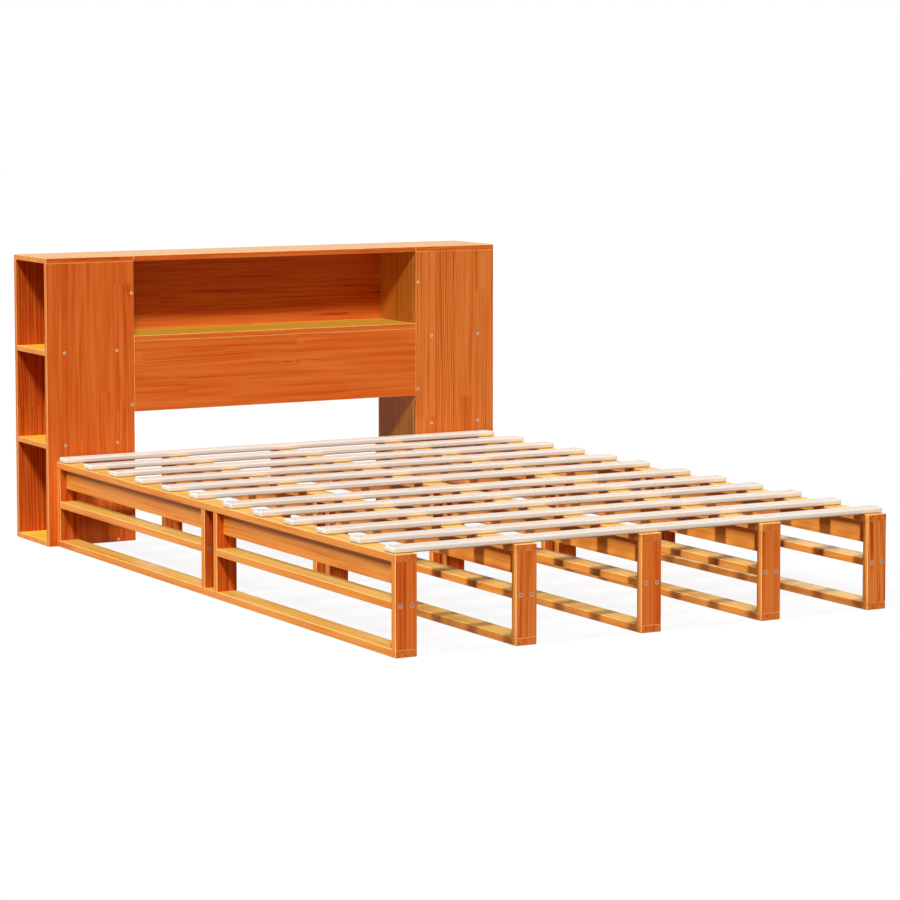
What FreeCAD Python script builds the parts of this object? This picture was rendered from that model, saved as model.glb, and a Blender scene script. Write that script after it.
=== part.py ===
import FreeCAD, Part
import os

from FreeCAD import Vector

# Slatted pine bed with a bookcase headboard. Five ladder-shaped beams run from the foot to the
# headboard, twelve slats are screwed across them, and two open-sided cabinets with a niche and
# a headrest between them stand against the beams' head ends.
# X points to the sleeper's right as seen from the foot, Y from the foot to the headboard, Z up.
# The origin lies on the floor, in the middle of the whole bed's length and width.

# ---------------------------------------------------------------- driving dimensions, mm

# Beams
bed_width = 1400.0              # outer face to outer face of the outer beams
beam_length = 2000.0
outer_beam_pitch = 322.0        # an outer beam to its neighbour
beam_board_width = 57.0         # width of rails, posts and middle boards
rail_thickness = 19.0
post_thickness = 21.0
post_height = 203.0
middle_post_gap = 51.0          # clear space between the two middle posts
middle_board_underside = 111.0  # above the floor
middle_board_thickness = 19.0
stiffener_thickness = 17.0
stiffener_height = 57.0
beam_edge_radius = 2.0

# Slats
slats_per_half = 6
slat_width = 48.0
slat_thickness = 15.0
slat_end_inset = 2.0            # slat end to the outer beam's outer face
slat_end_margin = 12.0          # first slat's edge to the beam's end
middle_slat_gap = 155.0         # clear space between the two middle slats
slat_edge_radius = 5.0

# Headboard
headboard_overhang = 27.0       # past the outer beam, on each side
headboard_depth = 238.0
headboard_height = 817.0
cabinet_width = 268.0
panel_thickness = 15.0          # front, back and side panels
shelf_thickness = 15.0          # tops, shelves and bottoms
lower_shelf_top = 293.0
upper_shelf_top = 556.0
niche_shelf_top = 588.0
headrest_height = 202.0
headrest_thickness = 15.0
niche_back_thickness = 15.0
panel_edge_radius = 1.5

# Fasteners
hole_clearance = 0.1            # round a shank or a dowel, on the radius
end_clearance = 0.5             # past the end of a shank or a dowel

beam_screw_head_diameter = 11.0
beam_screw_head_height = 3.0
beam_screw_diameter = 5.0
beam_screw_socket_width = 5.0
beam_screw_socket_depth = 2.4
middle_board_screw_length = 55.0
headboard_screw_length = 33.0
beam_screw_spacing = 31.0       # the two screws of one post
headboard_screw_heights = (62.0, 148.0)

slat_screw_head_diameter = 7.0
slat_screw_head_height = 2.5
slat_screw_diameter = 4.0
slat_screw_length = 30.0
slat_screw_spacing = 28.0       # the two screws of one crossing
slat_screw_edge = 14.0          # from an outer beam's outer face

cabinet_screw_head_diameter = 9.0
cabinet_screw_head_height = 2.0
cabinet_screw_diameter = 5.0
cabinet_screw_length = 45.0
shelf_screw_inset = 54.0        # from either edge of a front or back panel
side_screw_first_height = 71.0
side_screw_pitch = 320.0
side_screw_count = 3

small_socket_width = 3.0
small_socket_depth = 1.2

dowel_diameter = 8.0
dowel_length = 30.0
dowel_shallow_depth = 10.0      # the part of a dowel that lies in the thinner board
post_dowel_spacing = 28.0
stiffener_dowel_count = 3
niche_dowel_count = 3
niche_dowel_margin = 60.0       # first upright dowel to the end of a niche board
niche_end_dowel_margin = 75.0   # first dowel in a niche board's end to the board's edge
cabinet_dowel_margin = 45.0     # first dowel to the edge of a cabinet panel
headrest_dowel_margin = 50.0

# ---------------------------------------------------------------- places worked out from them

overall_length = beam_length + headboard_depth
foot_y = -overall_length / 2
head_y = foot_y + beam_length
back_y = head_y + headboard_depth
middle_y = foot_y + beam_length / 2

frame_height = post_height + 2 * rail_thickness
post_bottom = rail_thickness
post_top = rail_thickness + post_height
slat_top = frame_height + slat_thickness

headboard_width = bed_width + 2 * headboard_overhang
niche_half_width = headboard_width / 2 - cabinet_width
cabinet_top_underside = headboard_height - shelf_thickness
niche_shelf_underside = niche_shelf_top - shelf_thickness
headrest_bottom = niche_shelf_underside - headrest_height

beam_lefts = (
    -bed_width / 2,
    -bed_width / 2 + outer_beam_pitch,
    -beam_board_width / 2,
    bed_width / 2 - outer_beam_pitch - beam_board_width,
    bed_width / 2 - beam_board_width,
)
beam_centres = [left + beam_board_width / 2 for left in beam_lefts]

# The front face of each post, from the foot to the headboard
post_fronts = (
    foot_y,
    middle_y - middle_post_gap / 2 - post_thickness,
    middle_y + middle_post_gap / 2,
    head_y - post_thickness,
)
# Each half of a beam runs between two posts
half_spans = (
    (post_fronts[0] + post_thickness, post_fronts[1]),
    (post_fronts[2] + post_thickness, post_fronts[3]),
)


# ---------------------------------------------------------------- shapes that many pieces share

def block(x_range, y_range, z_range):
    """A box between two x, two y and two z values."""
    low = Vector(min(x_range), min(y_range), min(z_range))
    high = Vector(max(x_range), max(y_range), max(z_range))
    size = high - low
    return Part.makeBox(size.x, size.y, size.z, low)


def eased(shape, radius):
    """The shape with all its edges rounded."""
    return shape.makeFillet(radius, shape.Edges)


def eased_along(shape, direction, radius):
    """The shape with only the edges along one direction rounded."""
    edges = []
    for edge in shape.Edges:
        tangent = edge.tangentAt(edge.FirstParameter)
        if abs(tangent.dot(direction)) > 0.99:
            edges.append(edge)
    return shape.makeFillet(radius, edges)


def rod(start, direction, radius, length):
    """A round bar from start along direction."""
    return Part.makeCylinder(radius, length, start, direction)


def drilled(shape, holes):
    """The shape with all the holes cut in one step."""
    if not holes:
        return shape
    return shape.cut(Part.makeCompound(holes)).Solids[0]


def hexagon_prism(centre, direction, across_flats, height):
    """A six-sided prism that stands on centre along direction."""
    corner_radius = across_flats / 3 ** 0.5
    disc = Part.makePolygon(
        [Vector(corner_radius, 0, 0)]
        + [FreeCAD.Rotation(Vector(0, 0, 1), 60 * turn).multVec(Vector(corner_radius, 0, 0))
           for turn in range(1, 7)]
    )
    prism = Part.Face(Part.Wire(disc)).extrude(Vector(0, 0, height))
    prism.Placement = FreeCAD.Placement(centre, FreeCAD.Rotation(Vector(0, 0, 1), direction))
    return prism


def spaced(first, last, count):
    """Evenly spaced values from first to last, both included."""
    step = (last - first) / (count - 1)
    return [first + step * number for number in range(count)]


# ---------------------------------------------------------------- fasteners and their holes

class Screw:
    """A flat-headed screw whose head lies flush in the surface.

    seat is the point on the surface over the screw's axis, and inward points into the wood.
    """

    def __init__(self, seat, inward, head_diameter, head_height, diameter, length, socket):
        self.seat = seat
        self.inward = inward
        self.head_radius = head_diameter / 2
        self.head_height = head_height
        self.radius = diameter / 2
        self.length = length
        self.socket_width, self.socket_depth = socket

    def solid(self):
        head = rod(self.seat, self.inward, self.head_radius, self.head_height)
        shank = rod(self.seat, self.inward, self.radius, self.length)
        socket = hexagon_prism(self.seat, self.inward, self.socket_width, self.socket_depth)
        return head.fuse(shank).removeSplitter().cut(socket).Solids[0]

    def hole(self):
        head = rod(self.seat, self.inward, self.head_radius + hole_clearance, self.head_height)
        shank = rod(self.seat, self.inward, self.radius + hole_clearance,
                    self.length + end_clearance)
        return head.fuse(shank)


class Dowel:
    """A wooden dowel across the joint of two boards.

    joint is the point where its axis crosses the joint, and thin points into the thinner board.
    """

    def __init__(self, joint, thin):
        self.start = joint + thin * dowel_shallow_depth
        self.inward = thin * -1

    def solid(self):
        return rod(self.start, self.inward, dowel_diameter / 2, dowel_length)

    def hole(self):
        start = self.start - self.inward * end_clearance
        return rod(start, self.inward, dowel_diameter / 2 + hole_clearance,
                   dowel_length + 2 * end_clearance)


RIGHT = Vector(1, 0, 0)
FOOTWARD = Vector(0, -1, 0)
HEADWARD = Vector(0, 1, 0)
UP = Vector(0, 0, 1)
DOWN = Vector(0, 0, -1)


def beam_screw(seat, inward, length):
    return Screw(seat, inward, beam_screw_head_diameter, beam_screw_head_height,
                 beam_screw_diameter, length,
                 (beam_screw_socket_width, beam_screw_socket_depth))


def middle_board_screws(beam_centre):
    """Two screws through each post into the end of its middle board."""
    height = middle_board_underside + middle_board_thickness / 2
    screws = []
    for index, front in enumerate(post_fronts):
        # The foot post and the post behind the middle gap are screwed from their front face
        from_front = index in (0, 2)
        seat_y = front if from_front else front + post_thickness
        inward = HEADWARD if from_front else FOOTWARD
        for side in (-0.5, 0.5):
            seat = Vector(beam_centre + side * beam_screw_spacing, seat_y, height)
            screws.append(beam_screw(seat, inward, middle_board_screw_length))
    return screws


def headboard_screws(beam_centre):
    """The screws from inside a cabinet through its front panel into an outer beam's head post."""
    screws = []
    for height in headboard_screw_heights:
        seat = Vector(beam_centre, head_y + panel_thickness, height)
        screws.append(beam_screw(seat, FOOTWARD, headboard_screw_length))
    return screws


def slat_fronts():
    """The front edge of each slat, counted from the headboard to the foot."""
    first_offset = slat_end_margin + slat_width / 2
    last_offset = beam_length / 2 - middle_slat_gap / 2 - slat_width / 2
    offsets = spaced(first_offset, last_offset, slats_per_half)
    head_half = [head_y - offset for offset in offsets]
    foot_half = [foot_y + offset for offset in reversed(offsets)]
    return [centre - slat_width / 2 for centre in head_half + foot_half]


def slat_screw_columns():
    """The x of the slat screws: near the slat's ends on the outer beams, else over the middle."""
    edge = bed_width / 2 - slat_screw_edge
    return [-edge] + beam_centres[1:-1] + [edge]


def slat_screws(slat_front, x):
    """The two screws where a slat crosses a beam."""
    screws = []
    for side in (-0.5, 0.5):
        y = slat_front + slat_width / 2 + side * slat_screw_spacing
        screws.append(Screw(Vector(x, y, slat_top), DOWN,
                            slat_screw_head_diameter, slat_screw_head_height,
                            slat_screw_diameter, slat_screw_length,
                            (small_socket_width, small_socket_depth)))
    return screws


def post_dowels(beam_centre, post_front):
    """Two dowels in each end of a post."""
    y = post_front + post_thickness / 2
    dowels = []
    for side in (-0.5, 0.5):
        x = beam_centre + side * post_dowel_spacing
        dowels.append(Dowel(Vector(x, y, post_bottom), DOWN))
        dowels.append(Dowel(Vector(x, y, post_top), UP))
    return dowels


def stiffener_dowels(beam_centre, span):
    """Dowels between a stiffener's upper edge and the top rail, clear of the slat screws."""
    fronts = sorted(slat_fronts())
    pitch = fronts[1] - fronts[0]
    in_span = [front for front in fronts if span[0] - post_thickness <= front < span[1]]
    gap_centre = in_span[0] + (slat_width + pitch) / 2
    places = spaced(gap_centre, gap_centre + pitch * (slats_per_half - 2),
                    stiffener_dowel_count)
    return [Dowel(Vector(beam_centre, y, post_top), UP) for y in places]


# ---------------------------------------------------------------- the bed's frame

def beam_rail(beam_centre, z_range, holes):
    """A flat rail over the beam's whole length."""
    half = beam_board_width / 2
    rail = block((beam_centre - half, beam_centre + half), (foot_y, head_y), z_range)
    return drilled(eased(rail, beam_edge_radius), holes)


def beam_post(beam_centre, post_front, holes):
    """An upright board between the two rails."""
    half = beam_board_width / 2
    post = block((beam_centre - half, beam_centre + half),
                 (post_front, post_front + post_thickness), (post_bottom, post_top))
    return drilled(eased_along(post, UP, beam_edge_radius), holes)


def middle_board(beam_centre, span, holes):
    """A flat board between two posts, halfway up."""
    half = beam_board_width / 2
    top = middle_board_underside + middle_board_thickness
    board = block((beam_centre - half, beam_centre + half), span, (middle_board_underside, top))
    return drilled(eased_along(board, HEADWARD, beam_edge_radius), holes)


def stiffener(beam_centre, span, holes):
    """A board on edge under the top rail, which keeps it from sagging."""
    half = stiffener_thickness / 2
    board = block((beam_centre - half, beam_centre + half), span,
                  (post_top - stiffener_height, post_top))
    return drilled(eased_along(board, HEADWARD, beam_edge_radius), holes)


def slat(slat_front, screws):
    """A soft-edged slat across all the beams."""
    reach = bed_width / 2 - slat_end_inset
    board = block((-reach, reach), (slat_front, slat_front + slat_width),
                  (frame_height, slat_top))
    return drilled(eased(board, slat_edge_radius), [screw.hole() for screw in screws])


# ---------------------------------------------------------------- the headboard

def from_edge(side, inset):
    """The x at a distance in from the headboard's outer edge, on side -1 or +1."""
    return side * (headboard_width / 2 - inset)


def cabinet_screw(x, height, at_front):
    """A screw through the front or the back panel into the board behind it."""
    seat = Vector(x, head_y if at_front else back_y, height)
    inward = HEADWARD if at_front else FOOTWARD
    return Screw(seat, inward, cabinet_screw_head_diameter, cabinet_screw_head_height,
                 cabinet_screw_diameter, cabinet_screw_length,
                 (small_socket_width, small_socket_depth))


def cabinet_screws(side, at_front):
    """All the screws through one cabinet's front or back panel."""
    shelf_tops = (shelf_thickness, lower_shelf_top, upper_shelf_top)
    screws = []
    for top in shelf_tops:
        for inset in (shelf_screw_inset, cabinet_width - shelf_screw_inset):
            screws.append(cabinet_screw(from_edge(side, inset), top - shelf_thickness / 2,
                                        at_front))
    for number in range(side_screw_count):
        height = side_screw_first_height + number * side_screw_pitch
        x = from_edge(side, cabinet_width - panel_thickness / 2)
        screws.append(cabinet_screw(x, height, at_front))
    return screws


def cabinet_top_dowels(side):
    """Dowels from the front, back and side panels up into the cabinet's top."""
    z = cabinet_top_underside
    far_inset = cabinet_width - panel_thickness - cabinet_dowel_margin
    dowels = []
    for inset in (cabinet_dowel_margin, far_inset):
        for y in (head_y + panel_thickness / 2, back_y - panel_thickness / 2):
            dowels.append(Dowel(Vector(from_edge(side, inset), y, z), UP))
    for y in (head_y + cabinet_dowel_margin, back_y - cabinet_dowel_margin):
        dowels.append(Dowel(Vector(from_edge(side, cabinet_width - panel_thickness / 2), y, z), UP))
    return dowels


def inward_dowels(side, places, depth_in_cabinet):
    """Dowels along x from a niche board's end into the cabinet beside it."""
    outward = RIGHT * side
    shift = outward * (depth_in_cabinet - dowel_shallow_depth)
    return [Dowel(Vector(side * niche_half_width, y, z) + shift, outward) for y, z in places]


def niche_top_end_dowels(side):
    """Dowels between the niche's top and the cabinet's top."""
    z = headboard_height - shelf_thickness / 2
    places = [(head_y + niche_end_dowel_margin, z), (back_y - niche_end_dowel_margin, z)]
    return inward_dowels(side, places, dowel_length / 2)


def niche_shelf_end_dowels(side):
    """Dowels between the niche's shelf and the cabinet's side panel."""
    z = niche_shelf_top - shelf_thickness / 2
    places = [(head_y + niche_end_dowel_margin, z), (back_y - niche_end_dowel_margin, z)]
    return inward_dowels(side, places, dowel_shallow_depth)


def niche_back_end_dowels(side):
    """Dowels between the niche's back and the edge of the cabinet's back panel."""
    y = back_y - panel_thickness / 2
    heights = (niche_shelf_top + niche_end_dowel_margin,
               cabinet_top_underside - niche_end_dowel_margin)
    return inward_dowels(side, [(y, z) for z in heights], dowel_length / 2)


def headrest_end_dowels(side):
    """Dowels between the headrest and the edge of the cabinet's front panel."""
    y = head_y + panel_thickness / 2
    heights = (headrest_bottom + headrest_dowel_margin,
               niche_shelf_underside - headrest_dowel_margin)
    return inward_dowels(side, [(y, z) for z in heights], dowel_length / 2)


def niche_places():
    """The x of the upright dowels along the niche."""
    reach = niche_half_width - niche_dowel_margin
    return spaced(-reach, reach, niche_dowel_count)


def niche_back_top_dowels():
    """Dowels from the niche's back up into its top."""
    y = back_y - niche_back_thickness / 2
    return [Dowel(Vector(x, y, cabinet_top_underside), UP) for x in niche_places()]


def niche_back_foot_dowels():
    """Dowels from the niche's back down into its shelf."""
    y = back_y - niche_back_thickness / 2
    return [Dowel(Vector(x, y, niche_shelf_top), DOWN) for x in niche_places()]


def headrest_top_dowels():
    """Dowels from the headrest up into the niche's shelf."""
    y = head_y + headrest_thickness / 2
    return [Dowel(Vector(x, y, niche_shelf_underside), UP) for x in niche_places()]


def holes_of(fasteners):
    return [fastener.hole() for fastener in fasteners]


def panel(x_range, y_range, z_range, fasteners=()):
    """A headboard board with eased edges and the holes of its fasteners."""
    board = eased(block(x_range, y_range, z_range), panel_edge_radius)
    return drilled(board, holes_of(fasteners))


def cabinet(side, name):
    """The seven boards of one cabinet, open towards the outside of the bed."""
    outer = from_edge(side, 0)
    inner = from_edge(side, cabinet_width)
    side_face = from_edge(side, cabinet_width - panel_thickness)
    front = (head_y, head_y + panel_thickness)
    back = (back_y - panel_thickness, back_y)
    inside = (head_y + panel_thickness, back_y - panel_thickness)
    upright = (0, cabinet_top_underside)

    front_screws = cabinet_screws(side, at_front=True)
    back_screws = cabinet_screws(side, at_front=False)
    all_screws = front_screws + back_screws
    top_dowels = cabinet_top_dowels(side)
    bed_screws = headboard_screws(beam_centres[0 if side < 0 else -1])

    boards = {
        "front_panel": panel((outer, inner), front, upright,
                             front_screws + top_dowels + headrest_end_dowels(side) + bed_screws),
        "back_panel": panel((outer, inner), back, upright,
                            back_screws + top_dowels + niche_back_end_dowels(side)),
        "side_panel": panel((side_face, inner), inside, upright,
                            all_screws + top_dowels + niche_shelf_end_dowels(side)),
        "top": panel((outer, inner), (head_y, back_y),
                     (cabinet_top_underside, headboard_height),
                     top_dowels + niche_top_end_dowels(side)),
        "bottom": panel((outer, side_face), inside, (0, shelf_thickness), all_screws),
    }
    for shelf, top in (("lower_shelf", lower_shelf_top), ("upper_shelf", upper_shelf_top)):
        boards[shelf] = panel((outer, side_face), inside, (top - shelf_thickness, top),
                              all_screws)
    return {name + "_" + part: solid for part, solid in boards.items()}


def niche():
    """The boards between the two cabinets."""
    width = (-niche_half_width, niche_half_width)
    depth = (head_y, back_y)
    ends = (-1, 1)
    top_ends = [dowel for side in ends for dowel in niche_top_end_dowels(side)]
    shelf_ends = [dowel for side in ends for dowel in niche_shelf_end_dowels(side)]
    back_ends = [dowel for side in ends for dowel in niche_back_end_dowels(side)]
    headrest_ends = [dowel for side in ends for dowel in headrest_end_dowels(side)]
    return {
        "niche_top": panel(width, depth, (cabinet_top_underside, headboard_height),
                           top_ends + niche_back_top_dowels()),
        "niche_shelf": panel(width, depth, (niche_shelf_underside, niche_shelf_top),
                             shelf_ends + niche_back_foot_dowels() + headrest_top_dowels()),
        "niche_back_panel": panel(width, (back_y - niche_back_thickness, back_y),
                                  (niche_shelf_top, cabinet_top_underside),
                                  back_ends + niche_back_top_dowels()
                                  + niche_back_foot_dowels()),
        "headrest_board": panel(width, (head_y, head_y + headrest_thickness),
                                (headrest_bottom, niche_shelf_underside),
                                headrest_ends + headrest_top_dowels()),
    }


# ---------------------------------------------------------------- the whole bed

def beam(number, beam_centre, slat_screws_here):
    """One ladder-shaped beam: its nodes, its screws and its dowels."""
    board_screws = middle_board_screws(beam_centre)
    dowels = []
    for front in post_fronts:
        dowels += post_dowels(beam_centre, front)
    for span in half_spans:
        dowels += stiffener_dowels(beam_centre, span)

    bed_screws = []
    if number in (1, len(beam_lefts)):
        bed_screws = headboard_screws(beam_centre)

    board_holes = holes_of(board_screws)
    dowel_holes = holes_of(dowels)
    post_holes = board_holes + dowel_holes + holes_of(bed_screws)
    rails_top = (frame_height - rail_thickness, frame_height)
    name = "beam_%d_" % number
    nodes = {
        name + "top_rail": beam_rail(beam_centre, rails_top,
                                     dowel_holes + holes_of(slat_screws_here)),
        name + "bottom_rail": beam_rail(beam_centre, (0, rail_thickness), dowel_holes),
        name + "posts": [beam_post(beam_centre, front, post_holes) for front in post_fronts],
        name + "middle_boards": [middle_board(beam_centre, span, board_holes)
                                 for span in half_spans],
        name + "stiffeners": [stiffener(beam_centre, span, dowel_holes)
                              for span in half_spans],
    }
    return nodes, board_screws, bed_screws, dowels


def save(node, solids):
    """Write one node as parts/NODE.step, from one solid or a list of separate solids."""
    shape = Part.makeCompound(solids) if isinstance(solids, list) else solids
    shape.exportStep("parts/%s.step" % node)


def main():
    os.makedirs("parts", exist_ok=True)
    nodes = {}
    dowels = []
    board_screws = []
    bed_screws = []

    columns = slat_screw_columns()
    fronts = slat_fronts()
    for number, (beam_centre, x) in enumerate(zip(beam_centres, columns), start=1):
        crossing_screws = [screw for front in fronts for screw in slat_screws(front, x)]
        parts_of_beam = beam(number, beam_centre, crossing_screws)
        nodes.update(parts_of_beam[0])
        board_screws += parts_of_beam[1]
        bed_screws += parts_of_beam[2]
        dowels += parts_of_beam[3]

    all_slat_screws = []
    for number, front in enumerate(fronts, start=1):
        screws = [screw for x in columns for screw in slat_screws(front, x)]
        nodes["slat_%02d" % number] = slat(front, screws)
        all_slat_screws += screws

    panel_screws = []
    for side, name in ((-1, "left_cabinet"), (1, "right_cabinet")):
        nodes.update(cabinet(side, name))
        panel_screws += cabinet_screws(side, at_front=True)
        panel_screws += cabinet_screws(side, at_front=False)
        dowels += cabinet_top_dowels(side) + niche_top_end_dowels(side)
        dowels += niche_shelf_end_dowels(side) + niche_back_end_dowels(side)
        dowels += headrest_end_dowels(side)
    nodes.update(niche())
    dowels += niche_back_top_dowels() + niche_back_foot_dowels() + headrest_top_dowels()

    for node, fasteners in (
        ("middle_board_screws", board_screws),
        ("headboard_screws", bed_screws),
        ("slat_screws", all_slat_screws),
        ("cabinet_screws", panel_screws),
        ("wooden_dowels", dowels),
    ):
        nodes[node] = [fastener.solid() for fastener in fasteners]

    for node, solids in nodes.items():
        save(node, solids)


main()
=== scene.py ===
import math

import bpy
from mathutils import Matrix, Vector


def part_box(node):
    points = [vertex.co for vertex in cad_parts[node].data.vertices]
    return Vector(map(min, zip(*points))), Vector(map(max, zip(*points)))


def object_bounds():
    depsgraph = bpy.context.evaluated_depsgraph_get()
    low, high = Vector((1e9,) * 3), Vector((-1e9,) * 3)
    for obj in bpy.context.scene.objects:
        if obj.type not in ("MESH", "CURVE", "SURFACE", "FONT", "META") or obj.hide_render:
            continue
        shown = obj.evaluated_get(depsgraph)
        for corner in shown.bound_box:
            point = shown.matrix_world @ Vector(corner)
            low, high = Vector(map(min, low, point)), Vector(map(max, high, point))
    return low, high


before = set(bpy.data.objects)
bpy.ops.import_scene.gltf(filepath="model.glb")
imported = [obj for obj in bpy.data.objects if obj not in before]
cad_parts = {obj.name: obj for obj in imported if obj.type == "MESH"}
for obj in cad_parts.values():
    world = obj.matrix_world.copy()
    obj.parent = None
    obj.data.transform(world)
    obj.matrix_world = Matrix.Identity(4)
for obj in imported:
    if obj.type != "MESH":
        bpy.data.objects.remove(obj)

# Looks of a slatted pine bed with a bookcase headboard: the shapes are the CAD nodes as they
# are, and this script gives them materials, a floor, light and the photograph's camera.

cad_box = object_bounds()

# ---------------------------------------------------------------- camera and light

# The photograph's viewpoint, solved from points on the bed
CAMERA_PLACE = (-4.23573, -7.61757, 1.36992)
CAMERA_YAW = 0.51521            # from +Y towards +X
CAMERA_PITCH = -0.09166
CAMERA_LENS = 130.295
CAMERA_SENSOR = 36.0
CAMERA_SHIFT = -0.10            # the photograph's crop, in frame widths
CAMERA_REACH = 200.0

# The way each sun shines, its strength and its width in degrees, as the photograph's shadows
# show them. The three side lights are square to the bed's length and stand for one tall lamp.
# The back light reaches the sides that the photograph doesn't show.
SUNS = {
    "key": ((0.46, 1.0, -0.85), 1.8, 7.0),
    "foot": ((0.0, 1.0, -0.85), 0.85, 7.0),
    "side_low": ((1.0, 0.0, -0.80), 1.15, 5.0),
    "side_middle": ((1.0, 0.0, -1.05), 1.05, 5.0),
    "side_high": ((1.0, 0.0, -1.40), 0.80, 5.0),
    "back": ((-0.8, -0.9, -0.5), 0.65, 60.0),
}
SUN_DISTANCE = 4.0              # only for a look at the scene; a sun's light is the same anywhere
WORLD_LEVEL = (0.075, 0.050, 0.034)

WHITE = (1.0, 1.0, 1.0)
FLOOR_REACH = 30.0
FLOOR_DROP = 0.0005             # keeps the floor out of the plane of the bed's feet
FLOOR_BOUNCE = (0.20, 0.125, 0.08)
FLOOR_SHADOW = 0.10             # how much of the object's shadow the white floor keeps

# ---------------------------------------------------------------- stains, bare wood and painted light

# Linear colours, each palette from its light early wood to its dark late wood. FRONT is for
# faces towards the foot or the head, SIDE for faces to the left or right, and TOP for faces up
# or down. SIDE and TOP are painted light: lighter and yellower than FRONT, as strongly lit faces
# look. GOLDEN, LID, SHELF and WALL take their places on some boards. LID and SHELF are painted
# light as TOP is, SHELF the more, for shelves that stand in shade; WALL has less painted light
# than SIDE, for the side panels, whose walls stand in shade.
STAIN_FRONT = ((0.76, 0.190, 0.032), (0.675, 0.118, 0.0118), (0.455, 0.053, 0.0037))
STAIN_GOLDEN = ((0.77, 0.225, 0.042), (0.68, 0.145, 0.017), (0.46, 0.062, 0.0045))
STAIN_SIDE_PAINTED_LIGHT = ((0.81, 0.33, 0.062), (0.755, 0.252, 0.033), (0.60, 0.15, 0.013))
STAIN_TOP_PAINTED_LIGHT = ((0.70, 0.43, 0.094), (0.65, 0.345, 0.052), (0.53, 0.205, 0.019))
STAIN_LID_PAINTED_LIGHT = ((0.54, 0.275, 0.047), (0.49, 0.215, 0.027), (0.38, 0.120, 0.010))
STAIN_SHELF_PAINTED_LIGHT = ((0.88, 0.54, 0.062), (0.84, 0.45, 0.036), (0.70, 0.28, 0.014))
STAIN_WALL_PAINTED_LIGHT = ((0.75, 0.29, 0.042), (0.68, 0.24, 0.027), (0.49, 0.14, 0.0115))
# EDGE is for rounded edges: worn stain and a painted highlight in one.
STAIN_EDGE_WEAR_AND_HIGHLIGHT = (0.97, 0.56, 0.19)
# Bare pine by facing as above, END for the slats' ends. TOP is darker than the rest: painted
# shade on the faces where the most light falls.
BARE_END = ((0.84, 0.78, 0.70), (0.79, 0.72, 0.63), (0.68, 0.58, 0.47))
BARE_FRONT = ((0.86, 0.78, 0.69), (0.81, 0.72, 0.62), (0.72, 0.60, 0.48))
BARE_TOP_PAINTED_SHADE = ((0.63, 0.575, 0.515), (0.59, 0.525, 0.46), (0.53, 0.445, 0.365))
BARE_EDGE = (0.72, 0.645, 0.56)
BARE = (BARE_END, BARE_FRONT, BARE_TOP_PAINTED_SHADE)
BARE_ROUGHNESS = 0.58

# ---------------------------------------------------------------- the pine's figure, in metres

FRONT_STAVE = 0.067             # widths of the staves that the boards are glued from
BOARD_STAVE = 0.070
SHELF_STAVE = 0.080
STAVE_LENGTH = 1.1              # from one finger joint to the next
GLUE_LINE = 0.0009
GLUE_DARKNESS = 0.30

PITH_SPREAD = 0.12              # how far the pith's place differs across a stave
PITH_DEPTH = 0.016              # how far it lies below the board's middle, at the least
PITH_DEPTH_SPREAD = 0.045
PITH_OFF = 0.10                 # how far to one side it lies in boards of straight grain
TAPER_SPREAD = 0.018            # how much the trunks' tapers differ, per metre
SLOW_BEND = 0.032               # how far the grain wanders across
QUICK_BEND = 0.008
LINES_BEND = 0.7                # the share of it that the fibres and lines follow
RING_UNEVENNESS = 1.3           # in rings
UNEVENNESS_SCALE = 0.33         # per ring
SHIFT_SPREAD = 7.0              # how far apart two lengths of stave lie in the noises
QUICK_SHIFT = 3.7               # keeps the two wanders apart

# Each noise: how it is drawn out along, across and through the board, then its scale, detail
# and roughness
SLOW_WANDER = ((0.9, 3.0, 0.0), 1.6, 2.0, 0.5)
QUICK_WANDER = ((3.2, 9.0, 0.0), 2.0, 2.0, 0.5)
RING_CLEARNESS = ((1.2, 22.0, 0.0), 1.0, 2.0, 0.5)
FIBRES = ((9.0, 520.0, 520.0), 1.0, 3.0, 0.6)
STREAKS = ((3.0, 85.0, 60.0), 1.0, 2.0, 0.55)
THIN_LINES = ((2.2, 165.0, 120.0), 1.0, 0.0, 0.5)
DARK_LINES = ((0.8, 115.0, 30.0), 1.0, 1.0, 0.5)
BLOTCHES = ((0.22, 1.0, 1.0), 14.0, 2.0, 0.5)
RUBBED = (23.0, 3.0, 0.65)      # the same in every direction

# How dark one ring is, from its start to its end
RING_SHAPE = ((0.0, 0.10), (0.45, 0.26), (0.78, 0.80), (0.90, 1.0), (1.0, 0.10))

# Smooth steps: the value at which each starts and ends, and what comes out there if that
# isn't 0 and 1
CLEARNESS_STEP = (0.30, 0.72, 0.25, 1.0)
DARK_LINE_STEP = (0.55, 0.70)
THIN_LINE_STEP = (0.50, 0.66)
FACE_STEP = (0.60, 0.80)        # of the normal along one axis
EDGE_STEP = (0.985, 0.86)       # of the normal along the axis it is nearest to
RUBBED_STEP = (0.25, 0.60, 0.45, 1.0)

# How much each part of the figure darkens the wood, where 1 is the whole palette
BASE_DEPTH = 0.14
STREAK_DEPTH = 1.25
FIBRE_DEPTH = 0.42
BLOTCH_DEPTH = 0.70
STAVE_DEPTH = 0.10
THIN_LINE_DEPTHS = (-0.12, 0.55)
# Posts behind the foot end take this darker tone: painted shade, as they stand under the slats.
INNER_POST_PAINTED_SHADE = 0.22         # with its tone, for a post behind the foot

# The wood's surface
FIBRE_ROUGHNESS = 0.14
RING_ROUGHNESS = -0.06
FIBRE_RELIEF = 0.6
RING_RELIEF = 0.5
WOOD_BUMP = (0.16, 0.0006)      # strength and height
WOOD_SHINE = 0.12

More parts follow.
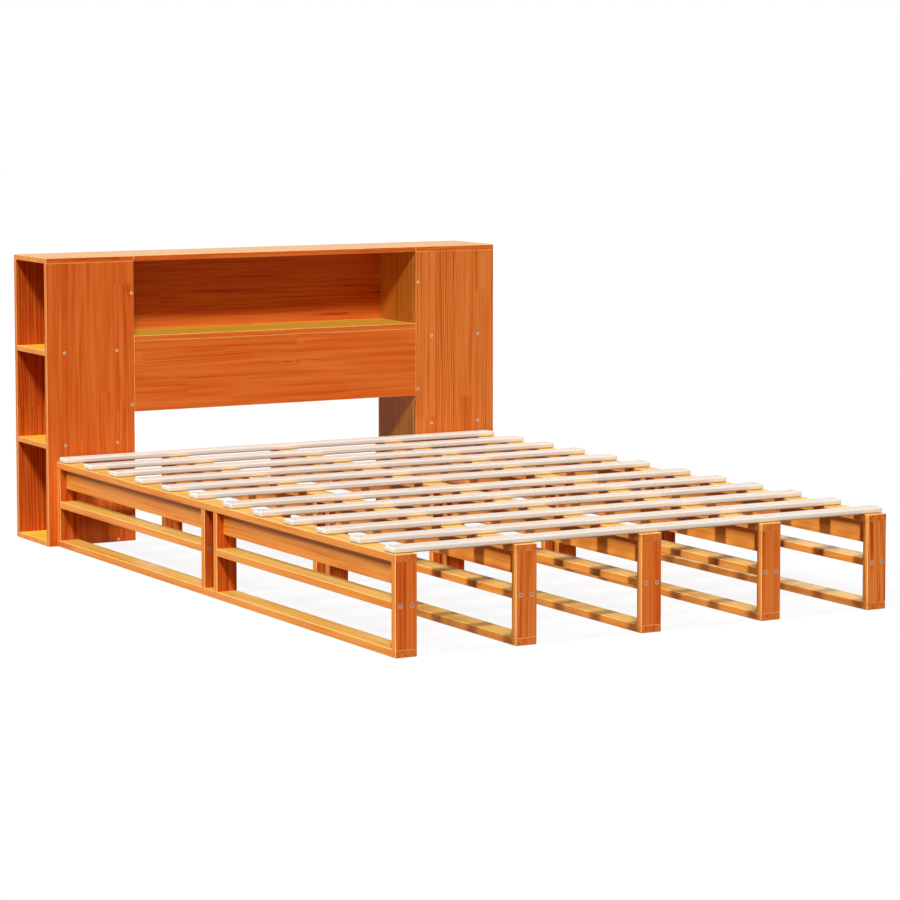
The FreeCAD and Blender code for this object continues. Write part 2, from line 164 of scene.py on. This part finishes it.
# Eyes in the grain: along and across from the board's middle, their size and lift
LEFT_PANEL_SWIRLS = ((-0.052, 0.090, 0.040, 0.008, 1.7), (0.326, 0.112, 0.040, 0.008, 1.5))
HEADREST_SWIRLS = ((0.036, 0.018, 0.030, 0.007, 1.6), (0.075, 0.023, 0.035, 0.008, -1.2))

# Each beam's posts, from the sleeper's left: the front palette, how strongly thin lines show,
# and the tone
POST_LOOK = {"1": (STAIN_FRONT, 0.7, -0.10), "2": (STAIN_GOLDEN, 0.6, -0.08),
             "3": (STAIN_FRONT, 0.7, -0.14), "4": (STAIN_GOLDEN, 0.2, 0.02),
             "5": (STAIN_GOLDEN, 1.7, -0.28)}

SEED_STEP = 1.37                # from one node's figure to the next

# ---------------------------------------------------------------- places and screws

panel_low, panel_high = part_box("left_cabinet_front_panel")
FOOT_END = cad_box[0][1]
HEAD_END = cad_box[1][1]
PANEL_FRONT = panel_low[1]      # the beams end here
PANEL_BACK = panel_high[1]
SLAT_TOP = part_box("slat_01")[1][2]
BEAM_MIDDLE = (FOOT_END + PANEL_FRONT) / 2
MIDDLE_GAP = 0.051              # between the two posts at a beam's middle
GAP_FACES = (BEAM_MIDDLE - MIDDLE_GAP / 2, BEAM_MIDDLE + MIDDLE_GAP / 2)
BEHIND_FOOT_POSTS = (FOOT_END + 0.07, FOOT_END + 0.08)

# Each screw node: the axis its heads face along, the places of the faces they lie flush with,
# the plating's colour, and how dark the sockets are painted, as painted shade in the recesses
PALE_PLATING = (0.62, 0.42, 0.30)
SCREWS = {
    "middle_board_screws": ("y", (FOOT_END, *GAP_FACES, PANEL_FRONT), PALE_PLATING, 0.50),
    "headboard_screws": ("y", (PANEL_BACK,), PALE_PLATING, 0.65),
    "cabinet_screws": ("y", (PANEL_FRONT, HEAD_END), (0.80, 0.60, 0.40), 0.35),
    "slat_screws": ("z", (SLAT_TOP,), (0.42, 0.33, 0.26), 0.80),
}
SOCKET_STEP = (0.0003, 0.0009)  # below the head's face
# Painted shade in the screws' sockets
SOCKET_PAINTED_SHADE = (0.10, 0.035, 0.018)

# The steel's surface
STEEL_MARKS = (900.0, 3.0, 0.6)
STEEL_CLOUDS = (130.0, 2.0)
CLOUD_STEP = (0.55, 0.80, 0.0, 0.4)
MARK_SHADE = 0.68
CLOUD_SHADE = 0.5
STEEL_ROUGHNESS_STEP = (0.3, 0.7, 0.36, 0.55)
STEEL_BUMP = (0.2, 0.0002)
STEEL_METALLIC = 0.5


# ---------------------------------------------------------------- node helpers

class Nodes:
    """Short ways to add and link the nodes of one material or world."""

    columns = 12
    spacing = (180, 220)

    def __init__(self, owner):
        owner.use_nodes = True
        self.tree = owner.node_tree
        self.tree.nodes.clear()
        self.count = 0

    def add(self, kind, **settings):
        node = self.tree.nodes.new(kind)
        node.location = (self.spacing[0] * (self.count % self.columns),
                         -self.spacing[1] * (self.count // self.columns))
        self.count += 1
        for key, value in settings.items():
            setattr(node, key, value)
        return node

    def put(self, socket, value):
        """Link an output to the socket, or set the socket to a number or a colour."""
        if hasattr(value, "is_output"):
            self.tree.links.new(value, socket)
        elif hasattr(value, "__len__") and len(value) == 3 and socket.type == "RGBA":
            socket.default_value = (*value, 1.0)
        else:
            socket.default_value = value

    def math(self, operation, *values, clamp=False):
        node = self.add("ShaderNodeMath", operation=operation, use_clamp=clamp)
        for socket, value in zip(node.inputs, values):
            self.put(socket, value)
        return node.outputs[0]

    def total(self, first, *others):
        for other in others:
            first = self.math("ADD", first, other)
        return first

    def swing(self, value, reach):
        """From a value around 0.5 to one around 0, reach times as wide."""
        return self.math("MULTIPLY", self.math("SUBTRACT", value, 0.5), reach)

    def between(self, value, low, high, out_low=0.0, out_high=1.0):
        """A smooth step from out_low to out_high, while value goes from low to high."""
        node = self.add("ShaderNodeMapRange", interpolation_type="SMOOTHSTEP")
        for socket, entry in zip(node.inputs, (value, low, high, out_low, out_high)):
            self.put(socket, entry)
        return node.outputs[0]

    def vector(self, x, y, z):
        node = self.add("ShaderNodeCombineXYZ")
        for socket, value in zip(node.inputs, (x, y, z)):
            self.put(socket, value)
        return node.outputs[0]

    def split(self, vector):
        node = self.add("ShaderNodeSeparateXYZ")
        self.put(node.inputs[0], vector)
        return node.outputs

    def noise(self, vector, scale, detail=2.0, roughness=0.5):
        node = self.add("ShaderNodeTexNoise")
        self.put(node.inputs["Vector"], vector)
        self.put(node.inputs["Scale"], scale)
        self.put(node.inputs["Detail"], detail)
        self.put(node.inputs["Roughness"], roughness)
        return node.outputs[0]

    def chance(self, vector):
        """Three random numbers from 0 to 1, always the same ones for the same vector."""
        node = self.add("ShaderNodeTexWhiteNoise", noise_dimensions="3D")
        self.put(node.inputs["Vector"], vector)
        return self.split(node.outputs["Color"])

    def ramp(self, value, stops):
        """Grey levels at places from 0 to 1."""
        node = self.add("ShaderNodeValToRGB")
        self.put(node.inputs[0], value)
        elements = node.color_ramp.elements
        while len(elements) < len(stops):
            elements.new(1.0)
        for element, (place, level) in zip(elements, stops):
            element.position = place
            element.color = (level, level, level, 1.0)
        return node.outputs[0]

    def mix(self, factor, first, second):
        """A colour between two colours."""
        node = self.add("ShaderNodeMix", data_type="RGBA", clamp_factor=True)
        self.put(node.inputs[0], factor)
        self.put(node.inputs[6], first)
        self.put(node.inputs[7], second)
        return node.outputs[2]

    def shades(self, depth, palette):
        """From the palette's light over its middle to its dark colour, by depth."""
        twice = self.math("MULTIPLY", depth, 2.0)
        lighter = self.mix(self.math("MINIMUM", twice, 1.0), palette[0], palette[1])
        return self.mix(self.math("SUBTRACT", twice, 1.0, clamp=True), lighter, palette[2])

    def filled(self, kind, **inputs):
        """The output of a new node, whose inputs are given by their names in lower case."""
        node = self.add(kind)
        for key, value in inputs.items():
            self.put(node.inputs[key.title()], value)
        return node.outputs[0]

    def blend(self, factor, first, second):
        """A shader between two shaders."""
        node = self.add("ShaderNodeMixShader")
        for socket, value in zip(node.inputs, (factor, first, second)):
            self.put(socket, value)
        return node.outputs[0]

    def bump(self, height, strength, distance):
        return self.filled("ShaderNodeBump", height=height, strength=strength,
                           distance=distance)

    def output(self, shader, kind="ShaderNodeOutputMaterial"):
        self.put(self.add(kind).inputs["Surface"], shader)

    def seen_directly(self):
        """1 for what the camera sees straight or through a reflection."""
        path = self.add("ShaderNodeLightPath")
        seen = self.math("MAXIMUM", path.outputs["Is Camera Ray"], path.outputs["Is Glossy Ray"])
        return self.math("MAXIMUM", seen, path.outputs["Is Transmission Ray"])


# ---------------------------------------------------------------- pine

class Board(Nodes):
    """Nodes of one board's wood. a, b and c lead along, across and through it."""

    def __init__(self, material, along, across, centre, stave, seed):
        super().__init__(material)
        through = ({"x", "y", "z"} - {along, across}).pop()
        place = self.add("ShaderNodeTexCoord").outputs["Object"]
        self.axes = dict(zip("xyz", self.split(place)))
        middle = dict(zip("xyz", centre))
        self.a, self.b, self.c = (self.math("SUBTRACT", self.axes[letter], middle[letter])
                                  for letter in (along, across, through))
        self.seed = seed
        self.find_stave(stave)
        self.shift = self.math("MULTIPLY", self.cell[0], SHIFT_SPREAD)
        slow = self.pattern(SLOW_WANDER, self.shift)
        quick = self.pattern(QUICK_WANDER, self.math("ADD", self.shift, QUICK_SHIFT))
        self.bend = self.total(self.swing(slow, SLOW_BEND), self.swing(quick, QUICK_BEND))
        self.bent = self.math("ADD", self.b, self.math("MULTIPLY", self.bend, LINES_BEND))

    def find_stave(self, stave):
        """Random numbers for each finger-jointed length, and where in its stave a point lies.

        The bare numbers in these vectors only tell the draws apart.
        """
        if not stave:
            self.cell = self.chance(self.vector(self.seed, 4.5, 2.5))
            self.in_stave = self.b
            self.glue = None
            return
        row = self.math("FLOOR", self.math("DIVIDE", self.b, stave))
        row_chance = self.chance(self.vector(row, self.seed, 0.5))
        shifted = self.math("ADD", self.math("DIVIDE", self.a, STAVE_LENGTH), row_chance[0])
        self.cell = self.chance(self.vector(row, self.math("FLOOR", shifted), self.seed))
        stave_middle = self.math("MULTIPLY", self.math("ADD", row, 0.5), stave)
        self.in_stave = self.math("SUBTRACT", self.b, stave_middle)
        self.glue = self.between(self.math("ABSOLUTE", self.in_stave),
                                 stave / 2 - GLUE_LINE, stave / 2)

    def pattern(self, kind, shift, across=None):
        """One of the named noises, moved through the board by shift."""
        stretch, scale, detail, roughness = kind
        parts = (self.a, self.b if across is None else across, self.c)
        x, y, z = (self.math("MULTIPLY", *pair) for pair in zip(parts, stretch))
        return self.noise(self.vector(x, y, self.math("ADD", z, shift)), scale, detail, roughness)

    def growth_rings(self, ring, pith, swirls):
        """How dark the rings round the stave's pith are, from 0 to 1."""
        pith_b = self.math("ADD", self.swing(self.cell[1], PITH_SPREAD), pith)
        pith_c = self.math("ADD", self.math("MULTIPLY", self.cell[2], PITH_DEPTH_SPREAD),
                           PITH_DEPTH)
        from_b = self.math("ADD", self.math("SUBTRACT", self.in_stave, pith_b), self.bend)
        from_c = self.math("ADD", self.c, pith_c)
        distance = self.math("SQRT", self.sum_of_squares(from_b, from_c))
        taper = self.math("MULTIPLY", self.a, self.swing(self.cell[0], TAPER_SPREAD))
        rings = self.math("DIVIDE", self.math("ADD", distance, taper), ring)
        for swirl in swirls:
            rings = self.math("ADD", rings, self.hump(*swirl))
        by_ring = self.math("MULTIPLY", rings, UNEVENNESS_SCALE)
        uneven = self.noise(self.vector(by_ring, self.seed, self.shift), 1.0, 1.0)
        rings = self.math("ADD", rings, self.math("MULTIPLY", uneven, RING_UNEVENNESS))
        return self.ramp(self.math("FRACT", rings), RING_SHAPE)

    def sum_of_squares(self, first, second):
        return self.math("ADD", self.math("MULTIPLY", first, first),
                         self.math("MULTIPLY", second, second))

    def hump(self, at_a, at_b, size_a, size_b, lift):
        """A round hill on the board's face, which bends the rings into an eye."""
        off_a = self.math("DIVIDE", self.math("SUBTRACT", self.a, at_a), size_a)
        off_b = self.math("DIVIDE", self.math("SUBTRACT", self.b, at_b), size_b)
        fall = self.math("MULTIPLY", self.sum_of_squares(off_a, off_b), -1.0)
        return self.math("MULTIPLY", self.math("EXPONENT", fall), lift)

    def line_depth(self, lines, fine):
        """The broader and the thin dark lines."""
        dark = self.pattern(DARK_LINES, self.seed, self.bent)
        thin = self.pattern(THIN_LINES, self.seed, self.bent)
        lighter, darker = THIN_LINE_DEPTHS
        return (self.between(dark, *DARK_LINE_STEP, 0.0, lines),
                self.between(thin, *THIN_LINE_STEP, lighter * fine, darker * fine))

    def worn_and_highlit_edges(self, slope):
        """Where the stain is rubbed off, with a painted highlight: a lighter colour on rounded
        edges, whose normals leave the three axes.
        """
        nearest = self.math("MAXIMUM", self.math("MAXIMUM", slope[0], slope[1]), slope[2])
        rubbed = self.noise(self.vector(*self.axes.values()), *RUBBED)
        return self.math("MULTIPLY", self.between(nearest, *EDGE_STEP),
                         self.between(rubbed, *RUBBED_STEP))

    def paint(self, depth, faces, edge):
        """Each facing's palette by depth, which paints light and shade; the worn edges with a
        painted highlight, and the glue lines.
        """
        normal = self.add("ShaderNodeNewGeometry").outputs["Normal"]
        slope = [self.math("ABSOLUTE", part) for part in self.split(normal)]
        # The palettes by facing are painted light and shade: each face takes the colour of how it
        # is lit.
        side, front, top = (self.shades(depth, palette) for palette in faces)
        colour = self.mix(self.between(slope[2], *FACE_STEP), side, top)
        colour = self.mix(self.between(slope[1], *FACE_STEP), colour, front)
        colour = self.mix(self.worn_and_highlit_edges(slope), colour, edge)
        if self.glue is None:
            return colour
        return self.mix(self.math("MULTIPLY", self.glue, GLUE_DARKNESS), colour, faces[1][2])


def wood(name, along, across, centre, faces, edge, stave=None, ring=0.0048, seed=1.0, pith=0.0,
         swirls=(), tone=0.0, inner_tone=0.0, grain=0.55, lines=0.25, fine=0.4, matt=0.40):
    """Pine as a solid: rings round a pith beside each stave, cut by the board's faces.

    along and across are axis letters: of the grain, and of the board's wide side.
    faces holds the palettes of the faces square to x, y and z, which differ as painted light
    and shade. ring is a ring's width, and pith moves the rings' middle off to one side, for
    straighter lines. Each swirl is a place, a size and a lift. tone darkens the whole board, and
    inner_tone what stands away from the foot end, as painted shade. grain, lines and fine say
    how strongly the rings, the broader dark lines and the thin ones show. matt is the roughness
    before the figure's part in it.
    """
    material = bpy.data.materials.new(name)
    n = Board(material, along, across, centre, stave, seed)
    band = n.growth_rings(ring, pith, swirls)
    clearness = n.between(n.pattern(RING_CLEARNESS, n.shift), *CLEARNESS_STEP)
    figure = n.math("MULTIPLY", band, clearness)
    fibre = n.pattern(FIBRES, 0.0, n.bent)
    streak = n.pattern(STREAKS, n.shift, n.bent)
    blotch = n.pattern(BLOTCHES, seed)
    depth = n.total(n.math("MULTIPLY", figure, grain), n.swing(streak, STREAK_DEPTH),
                    *n.line_depth(lines, fine), n.swing(fibre, FIBRE_DEPTH),
                    n.swing(blotch, BLOTCH_DEPTH), n.swing(n.cell[1], STAVE_DEPTH))
    # Painted shade: the posts behind the foot end are darker, as they stand under the slats.
    if inner_tone:
        depth = n.math("ADD", depth, n.between(n.axes["y"], *BEHIND_FOOT_POSTS, 0.0, inner_tone))
    depth = n.math("ADD", depth, BASE_DEPTH + tone, clamp=True)
    rough = n.total(n.math("MULTIPLY", fibre, FIBRE_ROUGHNESS),
                    n.math("MULTIPLY", band, RING_ROUGHNESS), matt)
    relief = n.total(n.math("MULTIPLY", fibre, FIBRE_RELIEF),
                     n.math("MULTIPLY", figure, RING_RELIEF))
    shader = n.add("ShaderNodeBsdfPrincipled")
    n.put(shader.inputs["Base Color"], n.paint(depth, faces, edge))
    n.put(shader.inputs["Roughness"], rough)
    n.put(shader.inputs["Normal"], n.bump(relief, *WOOD_BUMP))
    shader.inputs["Specular IOR Level"].default_value = WOOD_SHINE
    n.output(shader.outputs[0])
    return material


def centre_of(node):
    low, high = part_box(node)
    return tuple((low[i] + high[i]) / 2 for i in range(3))


def pine(node, along, across, seed, side=STAIN_SIDE_PAINTED_LIGHT, front=STAIN_FRONT, top=STAIN_TOP_PAINTED_LIGHT, **look):
    """Stained pine for one node."""
    return wood(node, along, across, centre_of(node), (side, front, top), STAIN_EDGE_WEAR_AND_HIGHLIGHT, seed=seed,
                **look)


# ---------------------------------------------------------------- steel

def screw_steel(name, axis, seats, plating, socket_shade):
    """Plated steel with fine marks, and painted shade in the sockets below the heads' faces."""
    material = bpy.data.materials.new(name)
    n = Nodes(material)
    place = n.add("ShaderNodeTexCoord").outputs["Object"]
    along = n.split(place)["xyz".index(axis)]
    below, *others = (n.math("ABSOLUTE", n.math("SUBTRACT", along, seat)) for seat in seats)
    for other in others:
        below = n.math("MINIMUM", below, other)
    marks = n.noise(place, *STEEL_MARKS)
    cloud = n.between(n.noise(place, *STEEL_CLOUDS), *CLOUD_STEP)
    colour = n.mix(marks, plating, tuple(part * MARK_SHADE for part in plating))
    colour = n.mix(cloud, colour, tuple(part * CLOUD_SHADE for part in plating))
    # Painted shade: the sockets darken below the heads' faces.
    in_socket = n.between(below, *SOCKET_STEP)
    colour = n.mix(n.math("MULTIPLY", in_socket, socket_shade), colour, SOCKET_PAINTED_SHADE)
    shader = n.add("ShaderNodeBsdfPrincipled")
    n.put(shader.inputs["Base Color"], colour)
    n.put(shader.inputs["Roughness"], n.between(marks, *STEEL_ROUGHNESS_STEP))
    n.put(shader.inputs["Normal"], n.bump(marks, *STEEL_BUMP))
    shader.inputs["Metallic"].default_value = STEEL_METALLIC
    n.output(shader.outputs[0])
    return material


# ---------------------------------------------------------------- a material for every node

def dress(node, material):
    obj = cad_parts[node]
    obj.data.materials.clear()
    obj.data.materials.append(material)


def wood_for(node, seed):
    """The grain's direction and the staves follow what each board is."""
    if node == "wooden_dowels":
        return wood(node, "z", "x", (0.0, 0.0, 0.0), BARE, BARE_EDGE, ring=0.003,
                    matt=BARE_ROUGHNESS)
    if node.startswith("slat_"):
        return wood(node, "x", "y", centre_of(node), BARE, BARE_EDGE, seed=seed, ring=0.0042,
                    lines=0.12, matt=BARE_ROUGHNESS)
    if node.endswith("posts"):
        front, fine, tone = POST_LOOK[node[len("beam_")]]
        return pine(node, "z", "x", seed, front=front, pith=PITH_OFF, tone=tone,
                    inner_tone=INNER_POST_PAINTED_SHADE - tone, lines=0.05, fine=fine)
    if node.endswith("stiffeners"):
        return pine(node, "y", "z", seed)
    if node.endswith("middle_boards"):
        return pine(node, "y", "x", seed, tone=-0.08)
    if node.startswith("beam_"):
        return pine(node, "y", "x", seed, front=STAIN_GOLDEN)
    if node == "left_cabinet_front_panel":
        return pine(node, "z", "x", seed, stave=FRONT_STAVE, tone=0.10, fine=0.2,
                    swirls=LEFT_PANEL_SWIRLS)
    if node.endswith("front_panel"):
        return pine(node, "z", "x", seed, front=STAIN_GOLDEN, stave=FRONT_STAVE, ring=0.0058,
                    pith=PITH_OFF, tone=-0.32, grain=1.3, lines=0.45)
    # The cabinets' back panels take a darker tone: painted shade, as they are seen inside the
    # cabinets.
    if node.endswith("cabinet_back_panel"):
        return pine(node, "z", "x", seed, stave=FRONT_STAVE, ring=0.007, pith=PITH_OFF,
                    tone=0.14, grain=0.80, lines=0.40)
    if node.endswith("side_panel"):
        return pine(node, "z", "y", seed, side=STAIN_WALL_PAINTED_LIGHT, stave=BOARD_STAVE)
    if node == "headrest_board":
        return pine(node, "x", "z", seed, stave=BOARD_STAVE, lines=0.15, fine=0.15,
                    swirls=HEADREST_SWIRLS)
    if node == "niche_back_panel":
        return pine(node, "x", "z", seed, stave=BOARD_STAVE)
    if node.endswith(("shelf", "bottom")):
        return pine(node, "x", "y", seed, top=STAIN_SHELF_PAINTED_LIGHT, stave=SHELF_STAVE, tone=-0.10)
    return pine(node, "x", "y", seed, top=STAIN_LID_PAINTED_LIGHT, stave=SHELF_STAVE, tone=0.06)


# ---------------------------------------------------------------- floor, world, suns, camera

def make_floor():
    """A white floor with a faint shadow, which throws back less light than it shows."""
    mesh = bpy.data.meshes.new("floor")
    corners = [(-1, -1), (1, -1), (1, 1), (-1, 1)]
    mesh.from_pydata([(x * FLOOR_REACH, y * FLOOR_REACH, 0) for x, y in corners], [],
                     [(0, 1, 2, 3)])
    floor = bpy.data.objects.new("floor", mesh)
    floor.location.z = -FLOOR_DROP
    bpy.context.scene.collection.objects.link(floor)
    material = bpy.data.materials.new("floor")
    n = Nodes(material)
    bounce = n.filled("ShaderNodeBsdfDiffuse", color=FLOOR_BOUNCE)
    shadowed = n.filled("ShaderNodeBsdfDiffuse", color=WHITE)
    white = n.filled("ShaderNodeEmission", color=WHITE, strength=1.0)
    shown = n.blend(FLOOR_SHADOW, white, shadowed)
    n.output(n.blend(n.seen_directly(), bounce, shown))
    mesh.materials.append(material)


def make_world():
    """White to the camera, and a soft warm light on the object."""
    world = bpy.data.worlds.new("studio")
    bpy.context.scene.world = world
    n = Nodes(world)
    soft = n.filled("ShaderNodeBackground", color=WORLD_LEVEL, strength=1.0)
    white = n.filled("ShaderNodeBackground", color=WHITE, strength=1.0)
    n.output(n.blend(n.seen_directly(), soft, white), "ShaderNodeOutputWorld")


def make_sun(name, travel, strength, width):
    light = bpy.data.lights.new(name, "SUN")
    light.energy = strength
    light.angle = math.radians(width)
    sun = bpy.data.objects.new(name, light)
    sun.rotation_euler = Vector(travel).to_track_quat("-Z", "Y").to_euler()
    sun.location = Vector(travel) * -SUN_DISTANCE
    bpy.context.scene.collection.objects.link(sun)


def make_camera():
    view = bpy.data.cameras.new("camera")
    view.lens = CAMERA_LENS
    view.sensor_width = CAMERA_SENSOR
    view.shift_y = CAMERA_SHIFT
    view.clip_end = CAMERA_REACH
    camera = bpy.data.objects.new("camera", view)
    camera.location = CAMERA_PLACE
    camera.rotation_euler = (math.pi / 2 + CAMERA_PITCH, 0.0, -CAMERA_YAW)
    bpy.context.scene.collection.objects.link(camera)
    bpy.context.scene.camera = camera


# ---------------------------------------------------------------- the scene

for number, node in enumerate(sorted(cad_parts)):
    if node in SCREWS:
        dress(node, screw_steel(node, *SCREWS[node]))
    else:
        dress(node, wood_for(node, 1.0 + number * SEED_STEP))

make_floor()
make_world()
for name, look in SUNS.items():
    make_sun(name, *look)
make_camera()
bpy.context.scene.view_settings.view_transform = "Standard"
